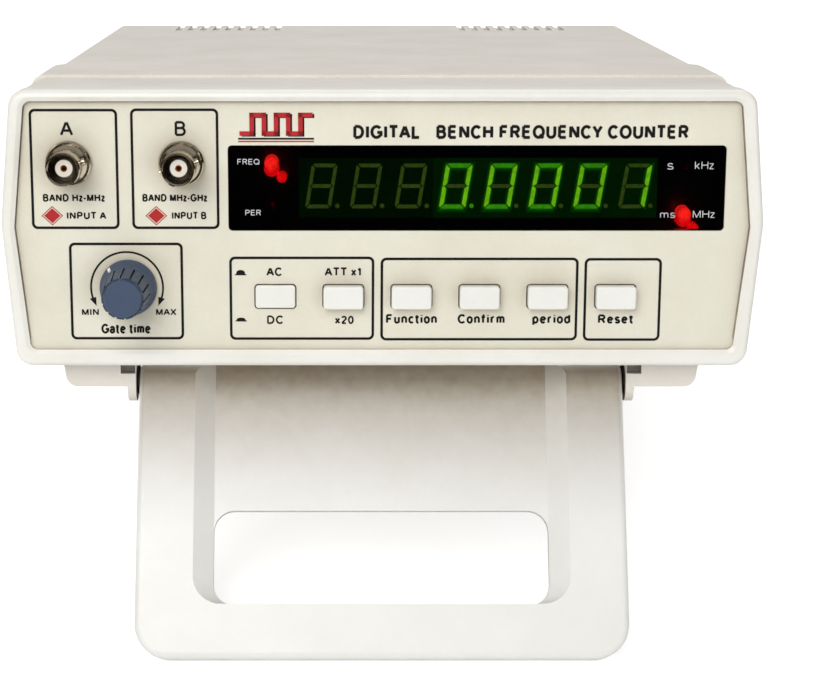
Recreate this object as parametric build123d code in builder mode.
"""Bench frequency counter: a two-shell instrument case that stands on its swing-down stand handle.

The instrument is modelled level, in millimetres: X to the right of someone facing the front panel,
Y from the front bezel towards the rear, Z up from the underside of the bezel.
STAND then tips it back on to its stand, as it works on a bench: the bench is the plane Z = 0.
"""
import os
from math import atan2, cos, degrees, hypot, radians, sin

from build123d import *

os.makedirs("parts", exist_ok=True)

# ---------------------------------------------------------------- driving dimensions
# case
CASE_D = 270.0            # bezel front to rear rim
HALF_MID = 107.5          # half width at the widest line
HALF_END = 104.0          # half width at the top and bottom faces
CASE_H = 78.7
SPLIT_Z = 41.0            # widest line, where the two shells meet
WALL = 2.5
CORNER_R, CASE_R = 5.0, 3.6      # outline corners of the bezel, and of the shells behind it
BEZEL_D = 9.0
BAND_Y = 47.0             # end of the sunken band behind the bezel
STEP_Y = 84.0             # where the sides step in
SIDE_STEP = 2.6
OPEN_TOP, OPEN_MID, OPEN_BOT = 100.2, 103.7, 100.0    # half widths of the bezel opening
OPEN_Z0, OPEN_Z1 = 4.8, 75.5
PANEL_Y, PANEL_T = 2.0, 2.5
REAR_Y, REAR_T = 264.0, 2.0

# underside
RAIL_IN, RAIL_OUT, RAIL_Z = 72.0, 91.8, -8.2
FOOT_X, FOOT_Y = 83.0, (45.0, 247.0)
FOOT_R, FOOT_BOTTOM = 6.5, -14.0
SCREW_X, SCREW_Y = 85.8, (64.0, 226.0)

# stand handle
HINGE_Y, HINGE_Z = 16.0, -7.5
STAND_ANGLE = 25.0        # forward of straight down
HANDLE_HALF = 70.5
HANDLE_L = 81.7           # hinge axis to the end
HANDLE_T = 9.0
SLOT_HALF, SLOT_TOP, SLOT_BOT = 48.3, -39.0, -66.2
PIN_R = 2.0
RUN_GAP = 0.05

# front panel
BNC_X, BNC_Z = (-88.0, -56.4), 58.0
BNC_TIP_Y = -11.7
BNC_R = 4.83
KNOB_X, KNOB_Z = -72.0, 22.6
SHAFT_R = 3.0
BUTTON_PITCH, BUTTON_MID_X, BUTTON_Z = 19.32, 18.03, 20.0
BUTTON_W, BUTTON_H = 11.3, 6.6
BUTTON_OUT_Y = -1.0       # front face of a button that stands out
BUTTON_IN = 2.2           # how far the latched button stands in
WINDOW_X, WINDOW_Z, WINDOW_W, WINDOW_H = 26.5, 51.0, 139.4, 23.8
DIGIT_X, DIGIT_Z, DIGIT_PITCH = 27.4, 50.0, 12.75
DISPLAY_Y = 17.0          # front face of the display board
LED_XZ = ((-31.2, 57.2), (-31.2, 43.6), (86.9, 56.6), (86.9, 42.6))

# inside
PCB_Z, PCB_T = 10.0, 1.6
PCB_X, PCB_Y0, PCB_Y1 = 80.0, 34.0, 190.0
TRAFO_X, TRAFO_Y, TRAFO_Z = -46.0, 222.0, 26.0
INLET_X, INLET_Z = 62.0, 36.0
SWITCH_X, SWITCH_Z = 14.0, 38.0

# ---------------------------------------------------------------- how it stands
# The stand touches the bench with the rounded back edge of its end; the case touches it with its rear feet.
EDGE_R = 1.8
_a = radians(STAND_ANGLE)
_s, _n = HANDLE_L - EDGE_R, -(HANDLE_T / 2 - EDGE_R)
_end_y = HINGE_Y - _s * sin(_a) - _n * cos(_a)
_end_z = HINGE_Z - _s * cos(_a) + _n * sin(_a)
_dy, _dz = FOOT_Y[1] + FOOT_R - _end_y, FOOT_BOTTOM - _end_z
# the end is an arc of radius EDGE_R and the foot is a sharp rim
TILT = degrees(atan2(_dz, _dy) + EDGE_R / hypot(_dy, _dz))
_lowest = -_end_y * sin(radians(TILT)) + _end_z * cos(radians(TILT)) - EDGE_R
STAND_Y = -119.9
STAND = Location((0, STAND_Y, -_lowest), (-TILT, 0, 0))


def depth(y):
    """The plane across the instrument at depth y, facing its front: local x is X and local y is Z."""
    return Plane.XZ.offset(-y)


def across(x):
    """The plane along the instrument at x: local x is Y and local y is Z."""
    return Plane.YZ.offset(x)


def hexagon(inset=0.0, side=0.0, top=0.0):
    """Corners of the case's outline, drawn in by inset, with the sides and the top drawn in further."""
    e, m = HALF_END - inset - side, HALF_MID - inset - side
    z0, z1 = inset, CASE_H - inset - top
    return [(-e, z0), (e, z0), (m, SPLIT_Z), (e, z1), (-e, z1), (-m, SPLIT_Z)]


def opening(out=0.0):
    """Corners of the bezel's opening, spread outwards by out."""
    t, m, b = OPEN_TOP + out, OPEN_MID + out, OPEN_BOT + out
    z0, z1 = OPEN_Z0 - out, OPEN_Z1 + out
    return [(-b, z0), (b, z0), (m, 40.0), (t, z1), (-t, z1), (-m, 40.0)]


def write(piece, name):
    piece.part.label = name
    export_step(piece.part.moved(STAND), f"parts/{name}.step")


# ---------------------------------------------------------------- case
with BuildPart() as front_bezel:
    with BuildSketch(depth(BEZEL_D)) as sk:
        with BuildLine():
            Polyline(*hexagon(), close=True)
        make_face()
        fillet(sk.vertices(), CORNER_R)
    extrude(amount=BEZEL_D)
    fillet(front_bezel.faces().sort_by(Axis.Y)[0].edges(), 1.9)
    with BuildSketch(depth(BEZEL_D)) as sk:
        with BuildLine():
            Polyline(*opening(), close=True)
        make_face()
        fillet(sk.vertices(), 2.2)
    extrude(amount=BEZEL_D, mode=Mode.SUBTRACT)
    front_face = front_bezel.faces().sort_by(Axis.Y)[0]
    chamfer(front_face.inner_wires()[0].edges(), 1.2, 0.8, reference=front_face)      # dished towards the panel
    with BuildSketch(depth(BEZEL_D)) as sk:
        with BuildLine():
            Polyline(*opening(1.2), close=True)
        make_face()
        fillet(sk.vertices(), 3.2)
    extrude(amount=BEZEL_D - PANEL_Y, mode=Mode.SUBTRACT)
write(front_bezel, "front_bezel")

BUTTON_XS = [BUTTON_MID_X + (i - 2.5) * BUTTON_PITCH for i in range(6)]
POSTS = [(-41.0, 68.3), (91.0, 68.3), (-41.0, 11.7), (91.0, 11.7)]

with BuildPart() as front_panel:
    with BuildSketch(depth(PANEL_Y + PANEL_T)) as sk:
        with BuildLine():
            Polyline(*opening(1.1), close=True)
        make_face()
        fillet(sk.vertices(), 3.0)
    extrude(amount=PANEL_T)
    with BuildSketch(depth(PANEL_Y + PANEL_T)):
        with Locations(*POSTS):
            Circle(2.6)
    extrude(amount=-(DISPLAY_Y - PANEL_Y - PANEL_T))
    with BuildSketch(depth(DISPLAY_Y)):
        with Locations(*POSTS):
            Circle(1.2)
    extrude(amount=9, mode=Mode.SUBTRACT)
    with BuildSketch(depth(PANEL_Y + PANEL_T)):
        with Locations((WINDOW_X, WINDOW_Z)):
            RectangleRounded(WINDOW_W + 0.4, WINDOW_H + 0.4, 1.2)
        with Locations(*[(x, BUTTON_Z) for x in BUTTON_XS]):
            RectangleRounded(BUTTON_W + 0.7, BUTTON_H + 0.7, 1.2)
        with Locations(*[(x, BNC_Z) for x in BNC_X]):
            Circle(4.85)
        with Locations((KNOB_X, KNOB_Z)):
            Circle(3.6)
    extrude(amount=PANEL_T, mode=Mode.SUBTRACT)
    with BuildSketch(depth(PANEL_Y + 0.7)) as sk:      # seam along the bezel
        with BuildLine():
            Polyline(*opening(0.15), close=True)
        make_face()
        fillet(sk.vertices(), 2.3)
        with BuildLine():
            Polyline(*opening(-0.3), close=True)
        make_face(mode=Mode.SUBTRACT)
        with Locations((0, OPEN_Z0)):
            Rectangle(2 * OPEN_MID + 4, 6.0, mode=Mode.SUBTRACT)
    extrude(amount=0.8, mode=Mode.SUBTRACT)
write(front_panel, "front_panel")

with BuildPart() as display_window:
    with BuildSketch(depth(PANEL_Y + PANEL_T)):
        with Locations((WINDOW_X, WINDOW_Z)):
            RectangleRounded(WINDOW_W, WINDOW_H, 1.0)
    extrude(amount=PANEL_T + 0.1)
    with BuildSketch(depth(PANEL_Y + PANEL_T)):
        with Locations((WINDOW_X, WINDOW_Z)):
            RectangleRounded(WINDOW_W + 3, WINDOW_H + 3, 2.0)
    extrude(amount=-1.2)
write(display_window, "display_window")

# the closed tube that the two shells are halves of
with BuildPart() as tube:
    with BuildSketch(depth(PANEL_Y + PANEL_T + 0.05)) as sk:      # tongue that clamps the panel in the bezel
        with BuildLine():
            Polyline(*opening(1.1), close=True)
        make_face()
        fillet(sk.vertices(), 3.0)
    extrude(amount=-(BEZEL_D - PANEL_Y - PANEL_T - 0.05))
    with BuildSketch(depth(BEZEL_D)) as sk:
        with BuildLine():
            Polyline(*hexagon(0, 0.5, 0.8), close=True)
        make_face()
        fillet(sk.vertices(), CASE_R)
    extrude(amount=-(BAND_Y - BEZEL_D))
    with BuildSketch(depth(BAND_Y)) as sk:
        with BuildLine():
            Polyline(*hexagon(), close=True)
        make_face()
        fillet(sk.vertices(), CASE_R)
    extrude(amount=-(STEP_Y - BAND_Y))
    with BuildSketch(depth(STEP_Y)) as sk:                         # sloping side step
        with BuildLine():
            Polyline(*hexagon(), close=True)
        make_face()
        fillet(sk.vertices(), CASE_R)
    with BuildSketch(depth(STEP_Y + 3)) as sk:
        with BuildLine():
            Polyline(*hexagon(0, SIDE_STEP), close=True)
        make_face()
        fillet(sk.vertices(), CASE_R)
    loft()
    with BuildSketch(depth(STEP_Y + 3)) as sk:
        with BuildLine():
            Polyline(*hexagon(0, SIDE_STEP), close=True)
        make_face()
        fillet(sk.vertices(), CASE_R)
    extrude(amount=-(CASE_D - STEP_Y - 3))
    fillet(tube.faces().sort_by(Axis.Y)[-1].edges(), 1.6)
    # hollow
    with BuildSketch(depth(0)) as sk:
        with BuildLine():
            Polyline(*opening(-1.0), close=True)
        make_face()
        fillet(sk.vertices(), 2.0)
    extrude(amount=-12.0, mode=Mode.SUBTRACT)
    with BuildSketch(depth(12.0)) as sk:
        with BuildLine():
            Polyline(*hexagon(WALL), close=True)
        make_face()
        fillet(sk.vertices(), 2.5)
    extrude(amount=-(STEP_Y - 12.0), mode=Mode.SUBTRACT)
    with BuildSketch(depth(STEP_Y)) as sk:
        with BuildLine():
            Polyline(*hexagon(WALL, SIDE_STEP), close=True)
        make_face()
        fillet(sk.vertices(), 2.5)
    extrude(amount=-(CASE_D - STEP_Y), mode=Mode.SUBTRACT)
    # groove for the rear panel
    with BuildSketch(depth(REAR_Y - 0.1)) as sk:
        with BuildLine():
            Polyline(*hexagon(1.3, SIDE_STEP), close=True)
        make_face()
        fillet(sk.vertices(), 3.5)
    extrude(amount=-(REAR_T + 0.2), mode=Mode.SUBTRACT)


def lip(inner_half, play):
    """Corners of the lap joint's lip in the wall whose inside is at inner_half; play opens it out."""
    slope = (HALF_MID - HALF_END) / (CASE_H - SPLIT_Z)
    top = SPLIT_Z + 2.0 + play
    d = slope * (top - SPLIT_Z)
    return [
        (inner_half - 3 * play, SPLIT_Z - play),
        (inner_half + 1.1 + play, SPLIT_Z - play),
        (inner_half + 1.1 + play - d, top),
        (inner_half - 3 * play - d, top),
    ]


INNER_FRONT, INNER_REAR = HALF_MID - WALL, HALF_MID - WALL - SIDE_STEP
LIPS = [(INNER_FRONT, 14.0, 82.0), (INNER_REAR, 89.0, 261.0)]

VENT_XS = [s * (58.0 + (i - 4.5) * 4.85) for s in (-1, 1) for i in range(9)]

with BuildPart() as top_shell:
    add(tube.part)
    split(bisect_by=Plane.XY.offset(SPLIT_Z), keep=Keep.TOP)
    for half, y0, y1 in LIPS:
        for s in (-1, 1):
            with BuildSketch(depth(y0 - 0.1)):
                with BuildLine():
                    Polyline(*[(s * x, z) for x, z in lip(half, 0.1)], close=True)
                make_face()
            extrude(amount=-(y1 - y0 + 0.2), mode=Mode.SUBTRACT)
    # screw columns
    with BuildSketch(Plane.XY.offset(SPLIT_Z)):
        with Locations(*[(s * SCREW_X, y) for s in (-1, 1) for y in SCREW_Y]):
            Circle(4.5)
    extrude(amount=CASE_H - SPLIT_Z - 1.0)
    with BuildSketch(Plane.XY.offset(SPLIT_Z)):
        with Locations(*[(s * SCREW_X, y) for s in (-1, 1) for y in SCREW_Y]):
            Circle(1.55)
    extrude(amount=18, mode=Mode.SUBTRACT)
    # vent grooves over the rear edge, and the slots in them
    with BuildSketch(Plane.XY.offset(CASE_H - 0.9)):
        with Locations(*[(x, 256.0) for x in VENT_XS]):
            Rectangle(2.4, 30.0)
    extrude(amount=3, mode=Mode.SUBTRACT)
    with BuildSketch(Plane.XY.offset(CASE_H - WALL - 1)):
        with Locations(*[(x, 251.0) for x in VENT_XS]):
            SlotOverall(17.0, 2.0, rotation=90)
    extrude(amount=4, mode=Mode.SUBTRACT)
write(top_shell, "top_shell")

PCB_POSTS = [(s * 68.0, y) for s in (-1, 1) for y in (44.0, 180.0)]
TRAFO_POSTS = [(TRAFO_X - 29.0, TRAFO_Y), (TRAFO_X + 29.0, TRAFO_Y)]

with BuildPart() as bottom_shell:
    add(tube.part)
    split(bisect_by=Plane.XY.offset(SPLIT_Z), keep=Keep.BOTTOM)
    for half, y0, y1 in LIPS:
        for s in (-1, 1):
            with BuildSketch(depth(y0)):
                with BuildLine():
                    Polyline(*[(s * x, z) for x, z in lip(half, 0.0)], close=True)
                make_face()
            extrude(amount=-(y1 - y0))
    for s in (-1, 1):
        # rail
        with BuildSketch(depth(9.5)) as sk:
            with BuildLine():
                Polyline(
                    (s * RAIL_IN, 1.0), (s * (RAIL_OUT + 0.6), 1.0), (s * (RAIL_OUT - 0.8), RAIL_Z), (s * RAIL_IN, RAIL_Z),
                    close=True,
                )
            make_face()
            low = sk.vertices().group_by(Axis.Y)[0]
            fillet(low.sort_by(Axis.X)[-1 if s > 0 else 0], 3.5)
            fillet(sk.vertices().group_by(Axis.Y)[0].sort_by(Axis.X)[0 if s > 0 else -1], 0.8)
        extrude(amount=-252.0)
        # hinge ear
        with BuildSketch(across(s * 71.3)):
            with Locations((HINGE_Y, HINGE_Z)):
                Circle(6.3)
            with Locations((HINGE_Y, HINGE_Z / 2 + 0.5)):
                Rectangle(12.6, -HINGE_Z + 1.0)
        extrude(amount=s * 2.4)
    # hollow rails
    with BuildSketch(Plane.XY.offset(RAIL_Z + WALL)):
        with Locations(*[(s * (RAIL_IN + RAIL_OUT - 1.4) / 2, 143.0) for s in (-1, 1)]):
            Rectangle(RAIL_OUT - RAIL_IN - 6.4, 226.0)
    extrude(amount=-RAIL_Z + 0.5, mode=Mode.SUBTRACT)
    # screw columns, foot pads and board posts
    with BuildSketch(Plane.XY.offset(RAIL_Z + 0.5)):
        with Locations(*[(s * SCREW_X, y) for s in (-1, 1) for y in SCREW_Y]):
            Circle(5.0)
    extrude(amount=SPLIT_Z - RAIL_Z - 0.5)
    with BuildSketch(Plane.XY.offset(RAIL_Z + 0.5)):
        with Locations(*[(s * FOOT_X, y) for s in (-1, 1) for y in FOOT_Y]):
            Circle(4.5)
    extrude(amount=9.0)
    with BuildSketch(Plane.XY.offset(1.0)):
        with Locations(*PCB_POSTS):
            Circle(3.6)
    extrude(amount=PCB_Z - 1.0)
    with BuildSketch(Plane.XY.offset(1.0)):
        with Locations(*TRAFO_POSTS):
            Circle(4.0)
    extrude(amount=TRAFO_Z - 20.0 - 1.0)
    # screw holes
    with BuildSketch(Plane.XY.offset(SPLIT_Z)):
        with Locations(*[(s * SCREW_X, y) for s in (-1, 1) for y in SCREW_Y]):
            Circle(1.8)
    extrude(amount=-60, mode=Mode.SUBTRACT)
    with BuildSketch(Plane.XY.offset(RAIL_Z - 1)):
        with Locations(*[(s * SCREW_X, y) for s in (-1, 1) for y in SCREW_Y]):
            Circle(3.4)
    extrude(amount=20, mode=Mode.SUBTRACT)
    with BuildSketch(Plane.XY.offset(RAIL_Z - 1)):
        with Locations(*[(s * FOOT_X, y) for s in (-1, 1) for y in FOOT_Y]):
            Circle(1.45)
    extrude(amount=8.5, mode=Mode.SUBTRACT)
    with BuildSketch(Plane.XY.offset(PCB_Z)):
        with Locations(*PCB_POSTS):
            Circle(1.2)
    extrude(amount=-7.5, mode=Mode.SUBTRACT)
    with BuildSketch(Plane.XY.offset(TRAFO_Z - 20.0)):
        with Locations(*TRAFO_POSTS):
            Circle(1.4)
    extrude(amount=-5.0, mode=Mode.SUBTRACT)
    # pocket at the inner front corner of each rail, and the hinge pin bores
    for s in (-1, 1):
        with BuildSketch(depth(9.0)):
            with Locations((s * 73.5, -2.2)):
                Rectangle(4.2, 4.4)
        extrude(amount=-4.0, mode=Mode.SUBTRACT)
        with BuildSketch(across(s * 71.0)):
            with Locations((HINGE_Y, HINGE_Z)):
                Circle(PIN_R + 0.02)
        extrude(amount=s * 3.4, mode=Mode.SUBTRACT)
    # floor vents
    with BuildSketch(Plane.XY.offset(-0.5)):
        with GridLocations(8.0, 60.0, 9, 2):
            SlotOverall(36.0, 2.6, rotation=90)
    extrude(amount=4, mode=Mode.SUBTRACT)
write(bottom_shell, "bottom_shell")

with BuildPart() as rear_panel:
    with BuildSketch(depth(REAR_Y + REAR_T)) as sk:
        with BuildLine():
            Polyline(*hexagon(1.4, SIDE_STEP), close=True)
        make_face()
        fillet(sk.vertices(), 3.4)
        with Locations((INLET_X, INLET_Z)):
            Rectangle(27.4, 33.4, mode=Mode.SUBTRACT)
        with Locations((SWITCH_X, SWITCH_Z)):
            Rectangle(12.6, 18.6, mode=Mode.SUBTRACT)
        with Locations((-50.0, 40.0)):
            with GridLocations(0, 7.0, 1, 6):
                SlotOverall(50.0, 3.0, mode=Mode.SUBTRACT)
    extrude(amount=REAR_T)
write(rear_panel, "rear_panel")

# ---------------------------------------------------------------- underside
with BuildPart() as rubber_feet:
    for x in (-FOOT_X, FOOT_X):
        for y in FOOT_Y:
            with BuildSketch(Plane(origin=(x, y, 0), x_dir=(1, 0, 0), z_dir=(0, -1, 0))):
                with BuildLine():
                    Polyline(
                        (1.7, RAIL_Z), (FOOT_R + 0.6, RAIL_Z), (FOOT_R + 0.6, RAIL_Z - 1.2), (FOOT_R, FOOT_BOTTOM),
                        (3.4, FOOT_BOTTOM), (3.4, FOOT_BOTTOM + 3.0), (1.7, FOOT_BOTTOM + 3.0), close=True,
                    )
                make_face()
            revolve(axis=Axis((x, y, 0), (0, 0, 1)))
write(rubber_feet, "rubber_feet")

with BuildPart() as foot_screws:
    for x in (-FOOT_X, FOOT_X):
        for y in FOOT_Y:
            with BuildSketch(Plane(origin=(x, y, 0), x_dir=(1, 0, 0), z_dir=(0, -1, 0))):
                with BuildLine():
                    Polyline(
                        (0, FOOT_BOTTOM + 1.4), (2.0, FOOT_BOTTOM + 1.4), (2.8, FOOT_BOTTOM + 2.2), (2.8, FOOT_BOTTOM + 2.98),
                        (1.4, FOOT_BOTTOM + 2.98), (1.4, -1.4), (0, -1.4), close=True,
                    )
                make_face()
            revolve(axis=Axis((x, y, 0), (0, 0, 1)))
            with BuildSketch(Plane.XY.offset(FOOT_BOTTOM + 1.4)):
                with Locations((x, y)):
                    Rectangle(3.0, 0.6)
                    Rectangle(0.6, 3.0)
            extrude(amount=1.0, mode=Mode.SUBTRACT)
write(foot_screws, "foot_screws")

with BuildPart() as case_screws:
    for x in (-SCREW_X, SCREW_X):
        for y in SCREW_Y:
            head = RAIL_Z + 19.0
            with BuildSketch(Plane(origin=(x, y, 0), x_dir=(1, 0, 0), z_dir=(0, -1, 0))):
                with BuildLine():
                    Polyline(
                        (0, head - 2.2), (2.0, head - 2.2), (3.0, head - 1.4), (3.0, head - 0.02), (1.5, head - 0.02),
                        (1.5, SPLIT_Z + 15.0), (0.6, SPLIT_Z + 17.0), (0, SPLIT_Z + 17.0), close=True,
                    )
                make_face()
            revolve(axis=Axis((x, y, 0), (0, 0, 1)))
            with BuildSketch(Plane.XY.offset(head - 2.2)):
                with Locations((x, y)):
                    Rectangle(3.4, 0.7)
                    Rectangle(0.7, 3.4)
            extrude(amount=1.2, mode=Mode.SUBTRACT)
write(case_screws, "case_screws")

# ---------------------------------------------------------------- stand handle
# Local frame of the handle: origin on the hinge axis, x to the right, y up the handle towards the hinge, z out of its face.
HANDLE = Plane(origin=(0, HINGE_Y, HINGE_Z), x_dir=(1, 0, 0), z_dir=(0, -cos(_a), sin(_a)))
HALF_T = HANDLE_T / 2

with BuildPart() as stand_handle:
    with BuildSketch(HANDLE.offset(-HALF_T)) as sk:
        with Locations((0, (HALF_T - HANDLE_L) / 2)):
            Rectangle(2 * HANDLE_HALF, HANDLE_L + HALF_T)
        fillet(sk.vertices().group_by(Axis.Y)[0], 10.0)
    extrude(amount=HANDLE_T)
    crown = [
        e for e in stand_handle.edges().filter_by(Axis.X) if HANDLE.to_local_coords(e.center()).Y > HALF_T - 0.1
    ]
    fillet(crown, HALF_T - 0.02)      # half-round barrel round the hinge axis
    rims = [
        e for e in stand_handle.edges()
        if abs(abs(HANDLE.to_local_coords(e.center()).X) - HANDLE_HALF) < 0.01
        or HANDLE.to_local_coords(e.center()).Y < -HANDLE_L + 9.0
    ]
    rims = [e for e in rims if not e.geom_type == GeomType.LINE or abs((e % 0.5).dot(HANDLE.z_dir)) < 0.5]
    fillet(rims, EDGE_R)
    # sunken middle: sloping flanks at the sides, a straight wall along the end bar
    with BuildSketch(HANDLE.offset(HALF_T)) as sk:
        with Locations((0, (SLOT_BOT + 12.5) / 2)):
            Rectangle(108.0, 12.5 - SLOT_BOT)
        fillet(sk.vertices(), 8.0)
    with BuildSketch(HANDLE.offset(0.5)) as sk:
        with Locations((0, (SLOT_BOT + 12.5) / 2)):
            Rectangle(2 * SLOT_HALF, 12.5 - SLOT_BOT)
        fillet(sk.vertices(), 6.0)
    loft(mode=Mode.SUBTRACT)
    # hollow back: a channel behind the side and end bars, and a shallow middle
    with BuildSketch(HANDLE.offset(-HALF_T)) as sk:
        with Locations((0, -HANDLE_L / 2)):
            RectangleRounded(2 * HANDLE_HALF - 5.0, HANDLE_L - 5.0, 7.5)
        with Locations((0, -27.5)):
            RectangleRounded(108.0, 80.0, 6.0, mode=Mode.SUBTRACT)
        with Locations((0, 6.0)):
            Rectangle(2 * HANDLE_HALF + 2, 28.0, mode=Mode.SUBTRACT)
    extrude(amount=6.5, mode=Mode.SUBTRACT)
    with BuildSketch(HANDLE.offset(-HALF_T)) as sk:
        with Locations((0, -22.0)):
            RectangleRounded(2 * 51.0, 88.0, 5.0)
    extrude(amount=2.0, mode=Mode.SUBTRACT)
    # hand slot
    with BuildSketch(HANDLE.offset(-HALF_T)) as sk:
        with Locations((0, (SLOT_TOP + SLOT_BOT) / 2)):
            RectangleRounded(2 * SLOT_HALF, SLOT_TOP - SLOT_BOT, 6.0)
    extrude(amount=HANDLE_T, mode=Mode.SUBTRACT)
    # pin bores
    for s in (-1, 1):
        with BuildSketch(across(s * (HANDLE_HALF + 1))):
            with Locations((HINGE_Y, HINGE_Z)):
                Circle(PIN_R + RUN_GAP)
        extrude(amount=-s * 9.0, mode=Mode.SUBTRACT)
write(stand_handle, "stand_handle")

with BuildPart() as hinge_pins:
    for s in (-1, 1):
        with BuildSketch(across(s * (HANDLE_HALF - 7.0))):
            with Locations((HINGE_Y, HINGE_Z)):
                Circle(PIN_R)
        extrude(amount=s * 10.8)
write(hinge_pins, "hinge_pins")

with BuildPart() as friction_washers:
    for s in (-1, 1):
        with BuildSketch(across(s * (HANDLE_HALF + 0.1))):
            with Locations((HINGE_Y, HINGE_Z)):
                Circle(4.3)
                Circle(PIN_R + 0.15, mode=Mode.SUBTRACT)
        extrude(amount=s * 0.6)
write(friction_washers, "friction_washers")

# ---------------------------------------------------------------- input jacks
for tag, bx in zip("ab", BNC_X):
    base = Plane(origin=(bx, 0, BNC_Z), x_dir=(1, 0, 0), z_dir=(0, 0, 1))      # local x is the radius, local y is Y
    turn = Axis((bx, 0, BNC_Z), (0, 1, 0))
    with BuildPart() as bnc_body:
        with BuildSketch(base):
            with BuildLine():
                Polyline(
                    (4.07, BNC_TIP_Y + 0.3), (4.35, BNC_TIP_Y), (BNC_R - 0.3, BNC_TIP_Y), (BNC_R, BNC_TIP_Y + 0.3),
                    (BNC_R, -7.2), (4.6, -7.0), (4.6, -1.0), (5.4, -0.4), (5.4, 0.4), (6.0, 0.4), (6.4, 0.8), (6.4, PANEL_Y),
                    (4.75, PANEL_Y), (4.75, 13.0), (2.45, 13.0), (2.45, -2.8), (4.07, -2.8), close=True,
                )
            make_face()
        revolve(axis=turn)
        with BuildSketch(Plane(origin=(bx, -5.9, BNC_Z), x_dir=(0, 1, 0), z_dir=(cos(radians(16)), 0, sin(radians(16))))):
            Circle(1.0)
        extrude(amount=5.55, both=True)
        with BuildSketch(depth(BNC_TIP_Y - 1)):
            with Locations((bx, BNC_Z)):
                Circle(4.07)
        extrude(amount=-(8.9 + 1), mode=Mode.SUBTRACT)
    write(bnc_body, f"bnc_{tag}_body")
    with BuildPart() as bnc_insulator:
        with BuildSketch(base):
            with BuildLine():
                Polyline((0.95, -8.6), (2.4, -8.6), (2.4, 13.6), (0.95, 13.6), close=True)
            make_face()
        revolve(axis=turn)
    write(bnc_insulator, f"bnc_{tag}_insulator")
    with BuildPart() as bnc_contact:
        with BuildSketch(base):
            with BuildLine():
                Polyline(
                    (0.55, -8.4), (0.9, -8.4), (0.9, 15.0), (0.6, 19.0), (0, 19.0), (0, -3.5), (0.55, -3.5), close=True,
                )
            make_face()
        revolve(axis=turn)
    write(bnc_contact, f"bnc_{tag}_contact")
with BuildPart() as bnc_nuts:
    for bx in BNC_X:
        with BuildSketch(depth(7.7)):
            with Locations((bx, BNC_Z)):
                RegularPolygon(7.2, 6)
                Circle(4.78, mode=Mode.SUBTRACT)
        extrude(amount=2.3)
write(bnc_nuts, "bnc_nuts")

with BuildPart() as bnc_washers:
    for bx in BNC_X:
        with BuildSketch(depth(5.38)) as sk:
            with Locations((bx, BNC_Z)):
                Circle(6.9)
                Circle(4.9, mode=Mode.SUBTRACT)
                with PolarLocations(6.9, 12):
                    Rectangle(1.6, 0.8, mode=Mode.SUBTRACT)
        extrude(amount=0.86)
write(bnc_washers, "bnc_washers")

# ---------------------------------------------------------------- gate time control
KNOB_TOP_Y, KNOB_BASE_Y = -15.2, 1.6
with BuildPart() as gate_knob:
    with BuildSketch(Plane(origin=(KNOB_X, 0, KNOB_Z), x_dir=(1, 0, 0), z_dir=(0, 0, 1))):
        with BuildLine():
            Polyline(
                (0, KNOB_TOP_Y), (5.0, KNOB_TOP_Y), (5.3, KNOB_TOP_Y + 0.3), (5.3, KNOB_TOP_Y + 0.9), (5.85, KNOB_TOP_Y + 0.9),
                (6.0, KNOB_TOP_Y + 1.1), (6.5, -3.6), (7.0, -1.6), (7.9, 0.4), (8.1, 1.0), (8.1, KNOB_BASE_Y), (6.4, KNOB_BASE_Y),
                (6.4, -1.6), (SHAFT_R + 0.02, -1.6), (SHAFT_R + 0.02, -11.5), (0, -11.5), close=True,
            )
        make_face()
    revolve(axis=Axis((KNOB_X, 0, KNOB_Z), (0, 1, 0)))
    with BuildSketch(depth(-3.0)):                     # narrow grip grooves up to the cap
        with Locations((KNOB_X, KNOB_Z)):
            with PolarLocations(6.35, 14, start_angle=133.0 + 12.9):
                Rectangle(1.5, 0.6)
    extrude(amount=12.0, mode=Mode.SUBTRACT)
write(gate_knob, "gate_knob")

with BuildPart() as pot_shaft:
    with BuildSketch(depth(11.0)):
        with Locations((KNOB_X, KNOB_Z)):
            Circle(SHAFT_R)
    extrude(amount=11.0 + 11.4)
write(pot_shaft, "pot_shaft")

with BuildPart() as pot_body:
    with BuildSketch(depth(14.0)):
        with Locations((KNOB_X, KNOB_Z)):
            Circle(8.4)
    extrude(amount=14.0 - 4.6)
    with BuildSketch(depth(6.0)):
        with Locations((KNOB_X, KNOB_Z)):
            Circle(3.55)
    extrude(amount=7.0)
    with BuildSketch(depth(11.1)):
        with Locations((KNOB_X, KNOB_Z)):
            Circle(SHAFT_R + RUN_GAP)
    extrude(amount=14.0, mode=Mode.SUBTRACT)
    with BuildSketch(depth(13.0)):
        with Locations(*[(KNOB_X + dx, KNOB_Z - 9.0) for dx in (-5.0, 0.0, 5.0)]):
            Rectangle(1.4, 7.0)
    extrude(amount=0.8)
write(pot_body, "pot_body")

with BuildPart() as pot_nut:
    with BuildSketch(depth(PANEL_Y - 0.02)):
        with Locations((KNOB_X, KNOB_Z)):
            RegularPolygon(5.9, 6)
            Circle(3.58, mode=Mode.SUBTRACT)
    extrude(amount=1.9)
write(pot_nut, "pot_nut")

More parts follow.
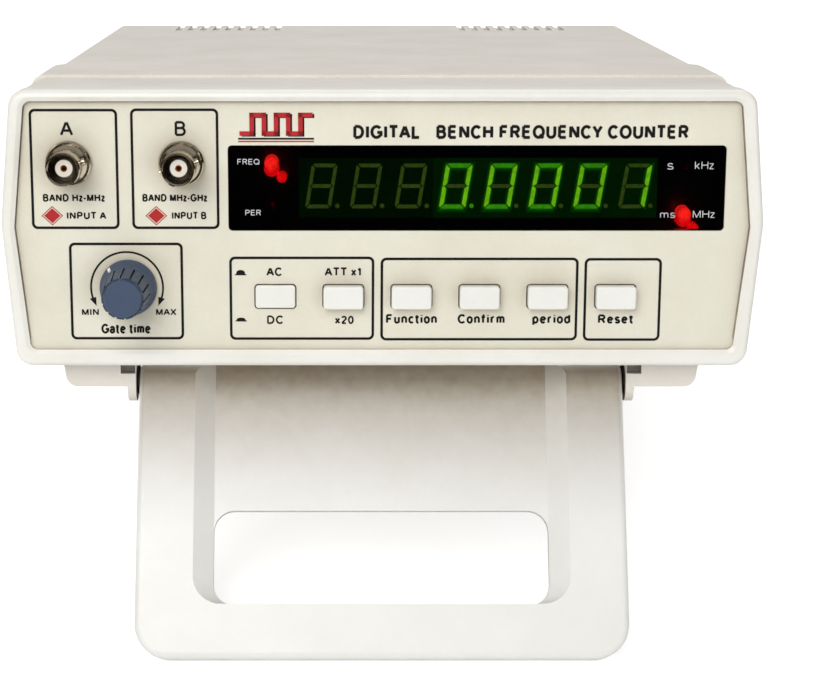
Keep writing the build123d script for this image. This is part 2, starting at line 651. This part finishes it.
# ---------------------------------------------------------------- push buttons
BUTTONS = ("coupling", "attenuator", "function", "confirm", "period", "reset")
for name, x in zip(BUTTONS, BUTTON_XS):
    shift = BUTTON_IN if name == "coupling" else 0.0
    y0 = BUTTON_OUT_Y + shift
    with BuildPart() as cap:
        with BuildSketch(depth(4.7 + shift)):
            with Locations((x, BUTTON_Z)):
                RectangleRounded(BUTTON_W, BUTTON_H, 0.9)
        extrude(amount=4.7 + shift - y0)
        fillet(cap.faces().sort_by(Axis.Y)[0].edges(), 0.6)
        with BuildSketch(depth(4.7 + shift)):
            with Locations((x, BUTTON_Z)):
                RectangleRounded(BUTTON_W + 1.8, BUTTON_H + 1.8, 1.2)
        extrude(amount=-1.1)
        with BuildSketch(depth(6.0 + shift)):
            with Locations((x, BUTTON_Z)):
                Rectangle(3.04, 3.04)
        extrude(amount=4.6, mode=Mode.SUBTRACT)
    write(cap, f"{name}_button")
    with BuildPart() as plunger:
        with BuildSketch(depth(11.5 + shift)):
            with Locations((x, BUTTON_Z)):
                Rectangle(3.0, 3.0)
        extrude(amount=10.0)
    write(plunger, f"{name}_plunger")

for label, xs in (("latching_switches", BUTTON_XS[:2]), ("momentary_switches", BUTTON_XS[2:])):
    with BuildPart() as switches:
        with BuildSketch(depth(DISPLAY_Y)):
            with Locations(*[(x, BUTTON_Z) for x in xs]):
                Rectangle(8.5, 8.5)
        extrude(amount=DISPLAY_Y - 9.2)
        with BuildSketch(depth(15.5)):
            with Locations(*[(x, BUTTON_Z) for x in xs]):
                Rectangle(3.2, 3.2)
        extrude(amount=8.0, mode=Mode.SUBTRACT)
    write(switches, label)

# ---------------------------------------------------------------- display board
with BuildPart() as display_board:
    with BuildSketch(depth(DISPLAY_Y + 1.6)):
        with Locations((24.5, 40.0)):
            RectangleRounded(141.0, 63.0, 1.5)
        with Locations(*POSTS):
            Circle(1.6, mode=Mode.SUBTRACT)
    extrude(amount=1.6)
write(display_board, "display_board")

with BuildPart() as digit_modules:
    with BuildSketch(depth(DISPLAY_Y)):
        with Locations(*[(DIGIT_X + (i - 3.5) * DIGIT_PITCH, DIGIT_Z) for i in range(8)]):
            Rectangle(12.6, 17.5)
    extrude(amount=7.5)
write(digit_modules, "digit_modules")

with BuildPart() as indicator_leds:
    for x, z in LED_XZ:
        with BuildSketch(Plane(origin=(x, 0, z), x_dir=(1, 0, 0), z_dir=(0, 0, 1))):
            with BuildLine():
                a1 = Polyline((0, 17.0), (1.9, 17.0), (1.9, 16.0), (1.5, 16.0), (1.5, 11.0))
                a2 = RadiusArc((1.5, 11.0), (0, 9.5), 1.5)
                Line(a2 @ 1, a1 @ 0)
            make_face()
        revolve(axis=Axis((x, 0, z), (0, 1, 0)))
write(indicator_leds, "indicator_leds")

# ---------------------------------------------------------------- main board
TOP = PCB_Z + PCB_T
with BuildPart() as main_board:
    with BuildSketch(Plane.XY.offset(PCB_Z)):
        with Locations((0, (PCB_Y0 + PCB_Y1) / 2)):
            RectangleRounded(2 * PCB_X, PCB_Y1 - PCB_Y0, 2.0)
        with Locations(*PCB_POSTS):
            Circle(1.7, mode=Mode.SUBTRACT)
        with Locations((SCREW_X - 2, SCREW_Y[0]), (-SCREW_X + 2, SCREW_Y[0])):
            Circle(8.0, mode=Mode.SUBTRACT)
    extrude(amount=PCB_T)
write(main_board, "main_board")

with BuildPart() as board_screws:
    with BuildSketch(Plane.XY.offset(TOP + 0.02)):
        with Locations(*PCB_POSTS):
            Circle(2.9)
    extrude(amount=1.8)
    with BuildSketch(Plane.XY.offset(TOP + 0.02)):
        with Locations(*PCB_POSTS):
            Circle(1.15)
    extrude(amount=-7.0)
    with BuildSketch(depth(DISPLAY_Y + 1.62)):
        with Locations(*POSTS):
            Circle(2.5)
    extrude(amount=-1.6)
    with BuildSketch(depth(DISPLAY_Y + 1.62)):
        with Locations(*POSTS):
            Circle(1.15)
    extrude(amount=7.0)
write(board_screws, "board_screws")

with BuildPart() as ic_packages:
    with BuildSketch(Plane.XY.offset(TOP + 0.5)):
        with Locations((5.0, 95.0)):
            Rectangle(52.0, 14.0)
        with Locations((-12.0, 122.0), (14.0, 122.0), (40.0, 122.0)):
            Rectangle(19.5, 6.6)
    extrude(amount=3.6)
    chamfer(ic_packages.edges().group_by(Axis.Z)[-1], 0.5)
write(ic_packages, "ic_packages")

with BuildPart() as prescaler_shield:
    with BuildSketch(Plane.XY.offset(TOP + 0.02)):
        with Locations((-52.0, 72.0)):
            RectangleRounded(34.0, 26.0, 1.0)
    extrude(amount=9.0)
    with BuildSketch(Plane.XY.offset(TOP)):
        with Locations((-52.0, 72.0)):
            Rectangle(33.0, 25.0)
    extrude(amount=8.4, mode=Mode.SUBTRACT)
    with BuildSketch(Plane.XY.offset(TOP + 8.0)):
        with Locations((-52.0, 72.0)):
            with GridLocations(8.0, 8.0, 3, 2):
                Circle(1.2)
    extrude(amount=2.0, mode=Mode.SUBTRACT)
write(prescaler_shield, "prescaler_shield")

with BuildPart() as crystal_oscillator:
    with BuildSketch(Plane.XY.offset(TOP + 0.3)):
        with Locations((42.0, 70.0)):
            RectangleRounded(20.0, 12.6, 1.8)
    extrude(amount=6.5)
    fillet(crystal_oscillator.edges().group_by(Axis.Z)[-1], 0.8)
write(crystal_oscillator, "crystal_oscillator")

with BuildPart() as filter_capacitors:
    for x, y, r, h in ((50.0, 160.0, 9.0, 30.0), (28.0, 165.0, 5.0, 17.0), (28.0, 150.0, 5.0, 17.0)):
        with BuildSketch(Plane.XY.offset(TOP + 0.3)):
            with Locations((x, y)):
                Circle(r)
        extrude(amount=h)
    fillet(filter_capacitors.edges().filter_by(GeomType.CIRCLE).filter_by(lambda e: e.center().Z > TOP + 5), 0.8)
write(filter_capacitors, "filter_capacitors")

with BuildPart() as heat_sink:
    with BuildSketch(Plane.XY.offset(TOP + 0.02)):
        with Locations((-10.0, 160.0)):
            Rectangle(36.0, 3.0)
        with Locations((-10.0, 166.4)):
            with GridLocations(5.6, 0, 7, 1):
                Rectangle(1.6, 10.0)
    extrude(amount=28.0)
write(heat_sink, "heat_sink")

with BuildPart() as voltage_regulator:
    with BuildSketch(Plane.XY.offset(TOP + 5.0)):
        with Locations((-10.0, 156.2)):
            Rectangle(10.2, 4.4)
    extrude(amount=9.0)
    with BuildSketch(Plane.XY.offset(TOP + 5.0)):
        with Locations((-10.0, 157.8)):
            Rectangle(10.2, 1.3)
    extrude(amount=15.5)
    with BuildSketch(Plane.XY.offset(TOP + 0.02)):
        with Locations((-12.54, 156.2), (-10.0, 156.2), (-7.46, 156.2)):
            Rectangle(0.9, 0.6)
    extrude(amount=5.2)
write(voltage_regulator, "voltage_regulator")

with BuildPart() as ribbon_cable:
    with BuildLine() as path:
        Spline((24.0, 18.7, 30.0), (24.0, 27.0, 27.0), (24.0, 36.0, 20.0), (24.0, 44.0, TOP + 0.8),
               tangents=((0, 1, 0), (0, 0.2, -1)))
    with BuildSketch(Plane(origin=path.line @ 0, x_dir=(1, 0, 0), z_dir=path.line % 0)):
        Rectangle(26.0, 1.0)
    sweep()
write(ribbon_cable, "ribbon_cable")

# ---------------------------------------------------------------- mains side
with BuildPart() as transformer_core:
    with BuildSketch(depth(TRAFO_Y + 10.0)):
        with Locations((TRAFO_X, TRAFO_Z)):
            Rectangle(48.0, 40.0)
        with Locations((TRAFO_X - 12.0, TRAFO_Z), (TRAFO_X + 12.0, TRAFO_Z)):
            Rectangle(8.0, 24.0, mode=Mode.SUBTRACT)
    extrude(amount=20.0)
    with BuildSketch(Plane.XY.offset(TRAFO_Z - 20.0)):
        with Locations((TRAFO_X, TRAFO_Y)):
            Rectangle(66.0, 12.0)
        with Locations(*TRAFO_POSTS):
            Circle(1.7, mode=Mode.SUBTRACT)
    extrude(amount=1.2)
write(transformer_core, "transformer_core")

with BuildPart() as transformer_coil:
    with BuildSketch(Plane.XY.offset(TRAFO_Z - 11.8)):
        with Locations((TRAFO_X, TRAFO_Y)):
            RectangleRounded(31.6, 35.0, 3.0)
            Rectangle(16.4, 20.4, mode=Mode.SUBTRACT)
    extrude(amount=23.6)
write(transformer_coil, "transformer_coil")

with BuildPart() as transformer_screws:
    with BuildSketch(Plane.XY.offset(TRAFO_Z - 18.78)):
        with Locations(*TRAFO_POSTS):
            Circle(3.2)
    extrude(amount=2.0)
    with BuildSketch(Plane.XY.offset(TRAFO_Z - 18.78)):
        with Locations(*TRAFO_POSTS):
            Circle(1.35)
    extrude(amount=-5.5)
write(transformer_screws, "transformer_screws")

with BuildPart() as mains_inlet:
    with BuildSketch(depth(REAR_Y + REAR_T + 0.02)):
        with Locations((INLET_X, INLET_Z)):
            RectangleRounded(31.0, 37.0, 2.0)
    extrude(amount=-2.6)
    fillet(mains_inlet.faces().sort_by(Axis.Y)[-1].edges(), 0.8)
    with BuildSketch(depth(REAR_Y + REAR_T + 0.1)):
        with Locations((INLET_X, INLET_Z)):
            Rectangle(27.0, 33.0)
    extrude(amount=22.0)
    with BuildSketch(depth(CASE_D + 1)) as sk:                       # plug well, with the two bevelled corners
        with BuildLine():
            Polyline(
                (INLET_X - 12.2, INLET_Z - 3.0), (INLET_X + 12.2, INLET_Z - 3.0), (INLET_X + 12.2, INLET_Z + 8.5),
                (INLET_X + 8.0, INLET_Z + 14.0), (INLET_X - 8.0, INLET_Z + 14.0), (INLET_X - 12.2, INLET_Z + 8.5), close=True,
            )
        make_face()
    extrude(amount=CASE_D + 1 - 252.0, mode=Mode.SUBTRACT)
    with BuildSketch(depth(CASE_D + 1)) as sk:                       # well for the fuse drawer
        with Locations((INLET_X, INLET_Z - 10.0)):
            Rectangle(24.4, 9.4)
    extrude(amount=CASE_D + 1 - 249.0, mode=Mode.SUBTRACT)
write(mains_inlet, "mains_inlet")

with BuildPart() as inlet_pins:
    with BuildSketch(depth(264.0)):
        with Locations((INLET_X - 7.0, INLET_Z + 4.0), (INLET_X, INLET_Z + 8.0), (INLET_X + 7.0, INLET_Z + 4.0)):
            Rectangle(2.0, 4.0)
    extrude(amount=12.0)
write(inlet_pins, "inlet_pins")

with BuildPart() as fuse_drawer:
    with BuildSketch(depth(269.6)):
        with Locations((INLET_X, INLET_Z - 10.0)):
            RectangleRounded(24.0, 9.0, 0.8)
    extrude(amount=20.2)
    with BuildSketch(depth(262.0)):
        with Locations((INLET_X, INLET_Z - 9.0)):
            Rectangle(21.2, 8.6)
    extrude(amount=7.0, mode=Mode.SUBTRACT)
    with BuildSketch(depth(269.6)):
        with Locations((INLET_X, INLET_Z - 11.0)):
            SlotOverall(12.0, 2.0)
    extrude(amount=1.0, mode=Mode.SUBTRACT)
write(fuse_drawer, "fuse_drawer")

with BuildPart() as fuse:
    with BuildSketch(across(INLET_X - 10.0)):
        with Locations((258.5, INLET_Z - 10.2)):
            Circle(2.6)
    extrude(amount=20.0)
    with BuildSketch(across(INLET_X - 5.0)):
        with Locations((258.5, INLET_Z - 10.2)):
            Circle(3.0)
            Circle(2.4, mode=Mode.SUBTRACT)
    extrude(amount=10.0, mode=Mode.SUBTRACT)
write(fuse, "fuse")

with BuildPart() as power_switch:
    with BuildSketch(depth(REAR_Y + REAR_T + 0.02)):
        with Locations((SWITCH_X, SWITCH_Z)):
            RectangleRounded(15.0, 21.0, 1.2)
    extrude(amount=-1.8)
    with BuildSketch(depth(REAR_Y + REAR_T + 0.1)):
        with Locations((SWITCH_X, SWITCH_Z)):
            Rectangle(12.4, 18.4)
    extrude(amount=16.0)
    with BuildSketch(depth(REAR_Y + REAR_T + 3)):
        with Locations((SWITCH_X, SWITCH_Z)):
            Rectangle(10.0, 16.0)
    extrude(amount=14.5, mode=Mode.SUBTRACT)
    with BuildSketch(depth(251.0)):
        with Locations((SWITCH_X, SWITCH_Z - 5.5), (SWITCH_X, SWITCH_Z + 5.5)):
            Rectangle(4.8, 0.8)
    extrude(amount=9.0)
    with BuildSketch(across(SWITCH_X - 6.0)):
        with Locations((262.0, SWITCH_Z)):
            Circle(1.25)
    extrude(amount=12.0)
write(power_switch, "power_switch")

ROCK = 9.0
with BuildPart() as power_rocker:
    with BuildSketch(across(SWITCH_X - 4.8)) as sk:
        with BuildLine():
            Polyline(
                (260.0, SWITCH_Z - 3.6), (262.6, SWITCH_Z - 7.0), (268.3, SWITCH_Z - 6.9), (267.0, SWITCH_Z),
                (268.3, SWITCH_Z + 6.9), (262.6, SWITCH_Z + 7.0), (260.0, SWITCH_Z + 3.6), close=True,
            )
        make_face()
        fillet(sk.vertices().group_by(Axis.X)[-1], 0.6)
    extrude(amount=9.6)
    with BuildSketch(across(SWITCH_X - 5.0)):
        with Locations((262.0, SWITCH_Z)):
            Circle(1.3)
    extrude(amount=10.0, mode=Mode.SUBTRACT)
power_rocker.part.label = "power_rocker"
rocked = Pos(0, 262.0, SWITCH_Z) * Rot(ROCK, 0, 0) * Pos(0, -262.0, -SWITCH_Z) * power_rocker.part
rocked.label = "power_rocker"
export_step(rocked.moved(STAND), "parts/power_rocker.step")

with BuildPart() as mains_wires:
    for x0, z0, x1, y1, z1 in (
        (INLET_X - 7.0, INLET_Z + 4.0, TRAFO_X + 13.0, 202.9, TRAFO_Z + 6.0),
        (INLET_X + 7.0, INLET_Z + 4.0, SWITCH_X, 238.0, SWITCH_Z + 9.5),
    ):
        with BuildLine() as path:
            Spline((x0, 243.8, z0), (x0 - 6, 232.0, z0 + 8), ((x0 + x1) / 2, 222.0, z0 + 16), (x1, y1, z1 + 1.2),
                   tangents=((0, -1, 0), (0, 0.3, -1)))
        with BuildSketch(Plane(origin=path.line @ 0, z_dir=path.line % 0)):
            Circle(1.2)
        sweep()
write(mains_wires, "mains_wires")

print(f"tilt {TILT:.4f} lowest {_lowest:.4f} stand_y {STAND_Y}")
